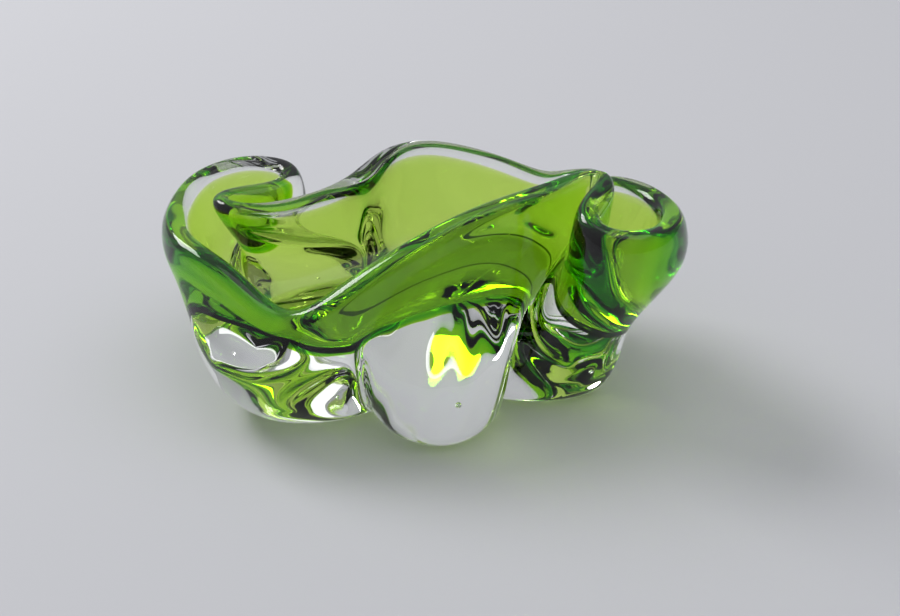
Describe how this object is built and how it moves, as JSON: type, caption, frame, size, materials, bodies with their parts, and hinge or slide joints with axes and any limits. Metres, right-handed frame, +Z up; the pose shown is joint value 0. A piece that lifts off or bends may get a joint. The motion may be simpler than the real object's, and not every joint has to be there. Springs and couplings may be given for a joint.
{
  "type": "art glass bowl",
  "caption": "Free-formed cased art glass bowl with a lobed clear base, a green inner layer and two folded ears, used as a table centrepiece or fruit dish.",
  "frame": {"origin": "middle of the flat foot, under the middle of the bowl", "axes": "+X along the bowl towards the ear that stands beside the tall end of the front wall, +Y to the back, away from the long front wall, +Z up"},
  "size_m": [0.1806, 0.1141, 0.0792],
  "materials": {
    "clear_glass": "fire-polished clear",
    "green_glass": "transparent yellow-green, sealed between two clear layers"
  },
  "bodies": {
    "root": {"clear_casing": "clear_glass", "green_layer": "green_glass", "clear_lining": "clear_glass"}
  },
  "joints": []
}
